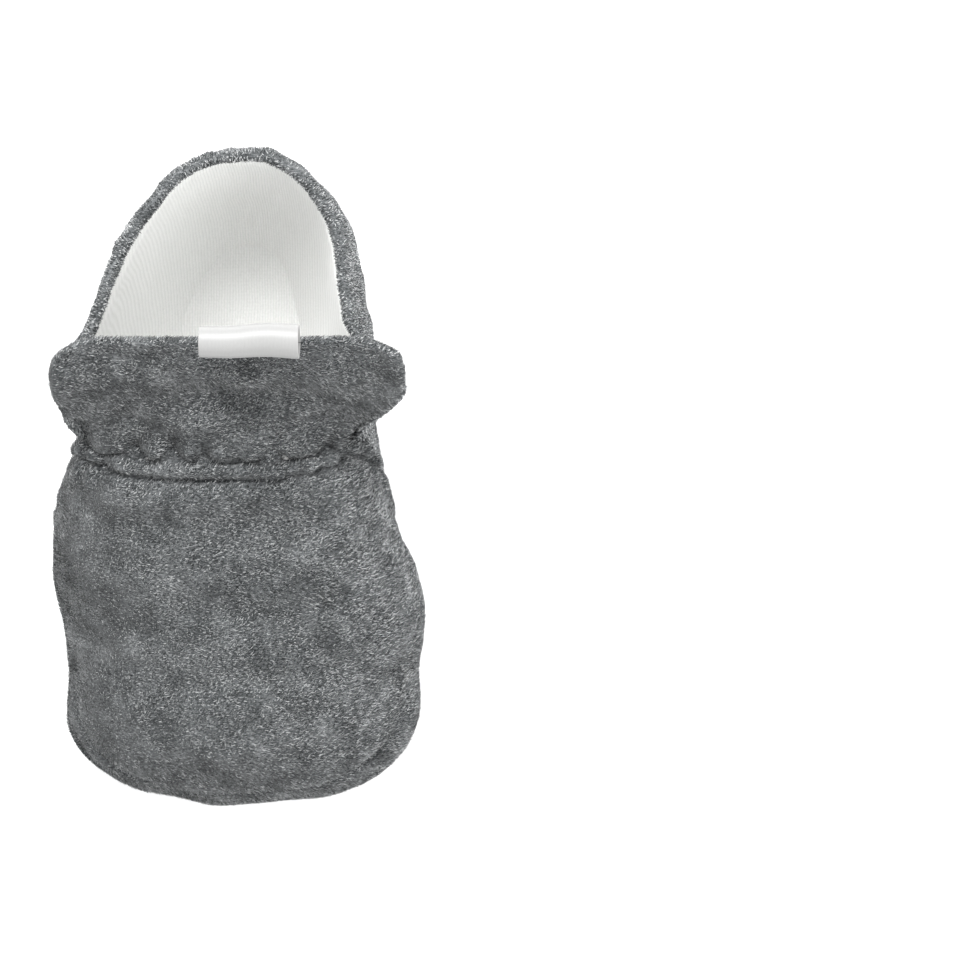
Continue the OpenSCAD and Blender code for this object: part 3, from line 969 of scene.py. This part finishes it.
stitch = bpy.data.objects.new("stitch", stitch_mesh())
row_tree, add = group("stitch_row", (
    ("Stitch", "NodeSocketObject"), ("Pitch", "NodeSocketFloat"),
    ("Thread", "NodeSocketFloat"), ("Material", "NodeSocketMaterial")))
given = add("NodeGroupInput").outputs
line = add("GeometryNodeMeshToCurve", Mesh=given["Geometry"]).outputs[0]
spaced = add("GeometryNodeResampleCurve", Curve=line).outputs[0]
spaced.node.mode = "LENGTH"
row_tree.links.new(given["Pitch"], spaced.node.inputs["Length"])
tangent = add("GeometryNodeInputTangent").outputs[0]
out_way = add("GeometryNodeInputNamedAttribute", {"data_type": "FLOAT_VECTOR"},
              Name="out").outputs[0]
upright = add("FunctionNodeAlignRotationToVector", {"axis": "Z"}, Vector=out_way).outputs[0]
along = add("FunctionNodeAlignRotationToVector", {"axis": "X", "pivot_axis": "Z"},
            Rotation=upright, Vector=tangent).outputs[0]
stitch_length = add("ShaderNodeMath", {"operation": "MULTIPLY"}, i0=given["Pitch"],
                    i1=0.80).outputs[0]
stitch_size = add("ShaderNodeCombineXYZ", X=stitch_length, Y=given["Thread"],
                  Z=given["Thread"]).outputs[0]
one = add("GeometryNodeObjectInfo", Object=given["Stitch"]).outputs["Geometry"]
row = add("GeometryNodeInstanceOnPoints", Points=spaced, Instance=one, Rotation=along,
          Scale=stitch_size)
real = add("GeometryNodeRealizeInstances", Geometry=row.outputs[0])
shaded = add("GeometryNodeSetMaterial", Geometry=real.outputs[0], Material=given["Material"])
add("NodeGroupOutput", Geometry=shaded.outputs[0])


def add_stitches(name, rows, node, pitch=2.6, thread=0.55):
    """One piece for the rows of a seam. A row is its points and their ways out, in mm."""
    points, ways, edges = [], [], []
    for line_points, outward in rows:
        base = len(points)
        points += (line_points * MM).tolist()
        ways += outward.tolist()
        edges += [(base + i, base + i + 1) for i in range(len(line_points) - 1)]
    mesh = bpy.data.meshes.new(name)
    mesh.from_pydata(points, edges, [])
    out = mesh.attributes.new("out", "FLOAT_VECTOR", "POINT")
    out.data.foreach_set("vector", np.array(ways, np.float32).ravel())
    source = bpy.data.objects.new("row_source", mesh)
    scene.collection.objects.link(source)
    made = grown(row_tree, source, {"Stitch": stitch, "Pitch": pitch * MM,
                                    "Thread": thread * MM, "Material": thread_finish.material})
    bpy.data.objects.remove(source)
    made.shade_smooth()
    piece = bpy.data.objects.new(name, made)
    scene.collection.objects.link(piece)
    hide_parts(node)
    return piece


def row_on(skin, us, vs, relief, sink):
    """A line of points on a skin with its relief, sunk a little, and the ways out."""
    us, vs = np.broadcast_arrays(np.asarray(us, float), np.asarray(vs, float))
    smooth_points = skin(us, vs, 0.0)
    lift = relief(us, vs, smooth_points)
    points = skin(us, vs, sink - lift)
    out = skin(us, vs, -1.0) - skin(us, vs, 1.0)
    return points, out / np.linalg.norm(out, axis=-1, keepdims=True)


wide = np.linspace(-0.62, 0.62, 160)
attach(add_stitches("casing_thread_lower",
                     [row_on(vamp_skin, wide, CASING_LOW, vamp_relief, 0.45)],
                     "casing_stitches_lower"), "shoe")
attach(add_stitches("casing_thread_upper",
                     [row_on(vamp_skin, wide, CREASE_HIGH, vamp_relief, 0.8)],
                     "casing_stitches_upper"), "shoe")
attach(add_stitches("heel_casing_thread",
                     [row_on(heel_skin, np.linspace(-0.68, 0.68, 260), HEEL_CASING, heel_relief,
                             0.45)], "heel_casing_stitches"), "shoe")
up_the_side = np.linspace(0.97, 0.55, 60)
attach(add_stitches("side_seam_thread", [
    row_on(vamp_skin, side * up_the_side, 0.968, vamp_relief, 0.55) for side in (-1.0, 1.0)],
    "side_seam_stitches"), "shoe")

seam_ring = np.column_stack([sole_outline(0.55), np.full(SOLE_AROUND, OUTSOLE_TOP - 0.1)])
seam_ring = np.vstack([seam_ring, seam_ring[:1]])
seam_out = seam_ring - np.array([0.0, 0.0, OUTSOLE_TOP + 2.0])
seam_out[:, 2] = 0.0
seam_out /= np.linalg.norm(seam_out, axis=1, keepdims=True)
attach(add_stitches("sole_seam_thread", [(seam_ring, seam_out)], "sole_seam_stitches"), "shoe")

label_u = (LABEL_X + np.linspace(-LABEL_HALF + 1.0, LABEL_HALF - 1.0, 40)) / COLLAR_HALF
label_row = row_on(collar_skin, label_u, 0.93, collar_relief, 0.05)
label_thread = add_stitches("label_thread", [label_row], "label_stitches", pitch=2.0)
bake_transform(label_thread)

for spare in (fibre, stitch):
    bpy.data.objects.remove(spare)
